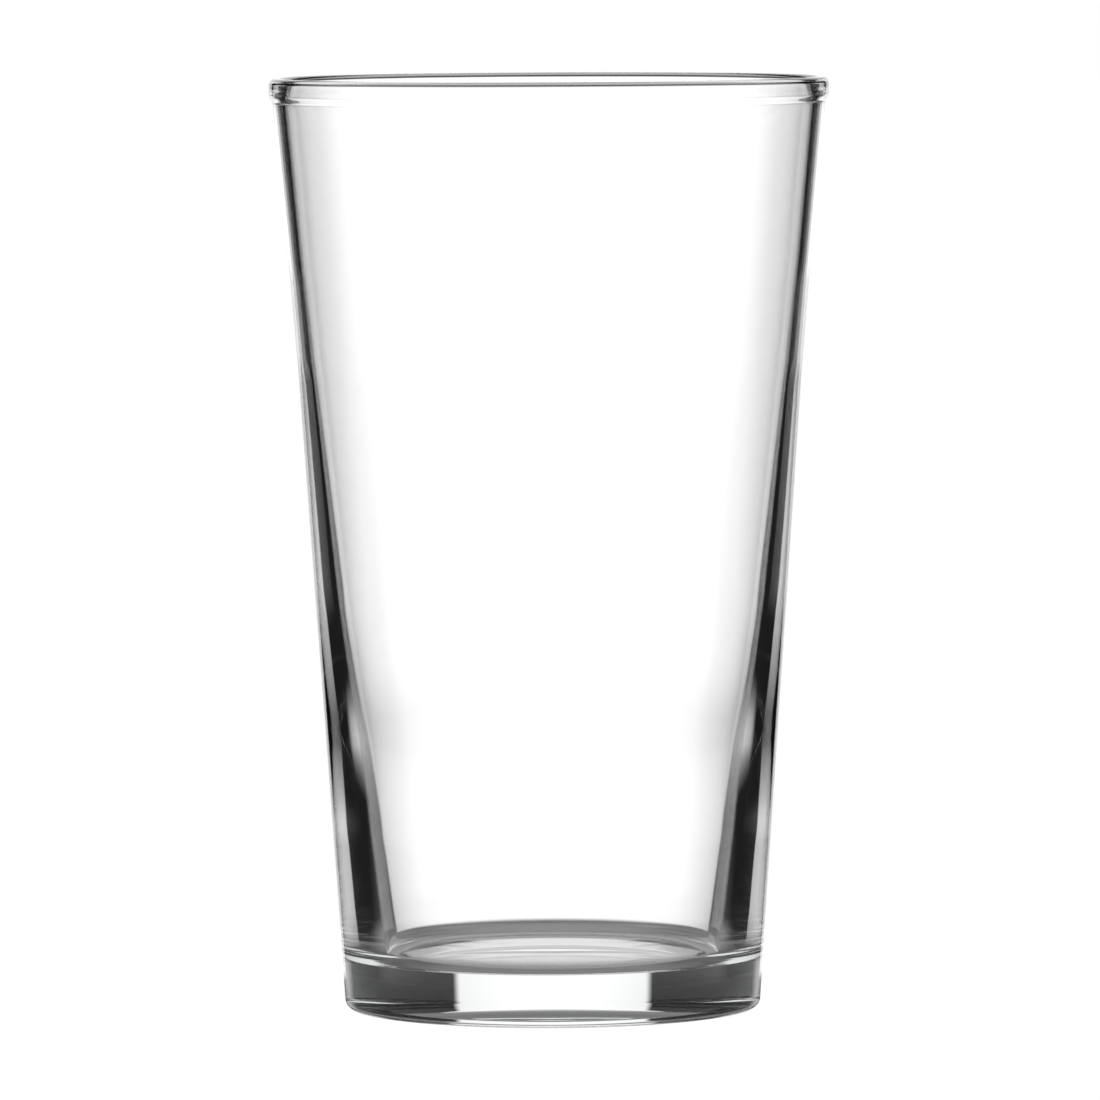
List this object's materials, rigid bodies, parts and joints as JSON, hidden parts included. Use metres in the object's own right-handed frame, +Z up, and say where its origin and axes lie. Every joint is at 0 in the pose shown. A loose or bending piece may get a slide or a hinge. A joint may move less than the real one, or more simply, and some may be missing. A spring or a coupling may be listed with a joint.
{
  "type": "pint glass",
  "caption": "Tapered clear drinking glass with a rounded bead round the lip and a thick base, hollowed slightly underneath.",
  "frame": {"origin": "centre of the foot, on the plane that the glass stands on", "axes": "+Z up along the glass's axis, from the foot to the lip; the glass is round, so +X and +Y are free"},
  "size_m": [0.0913, 0.0914, 0.152],
  "materials": {
    "clear_glass": "clear, fire-polished"
  },
  "bodies": {
    "root": {"glass": "clear_glass"}
  },
  "joints": []
}
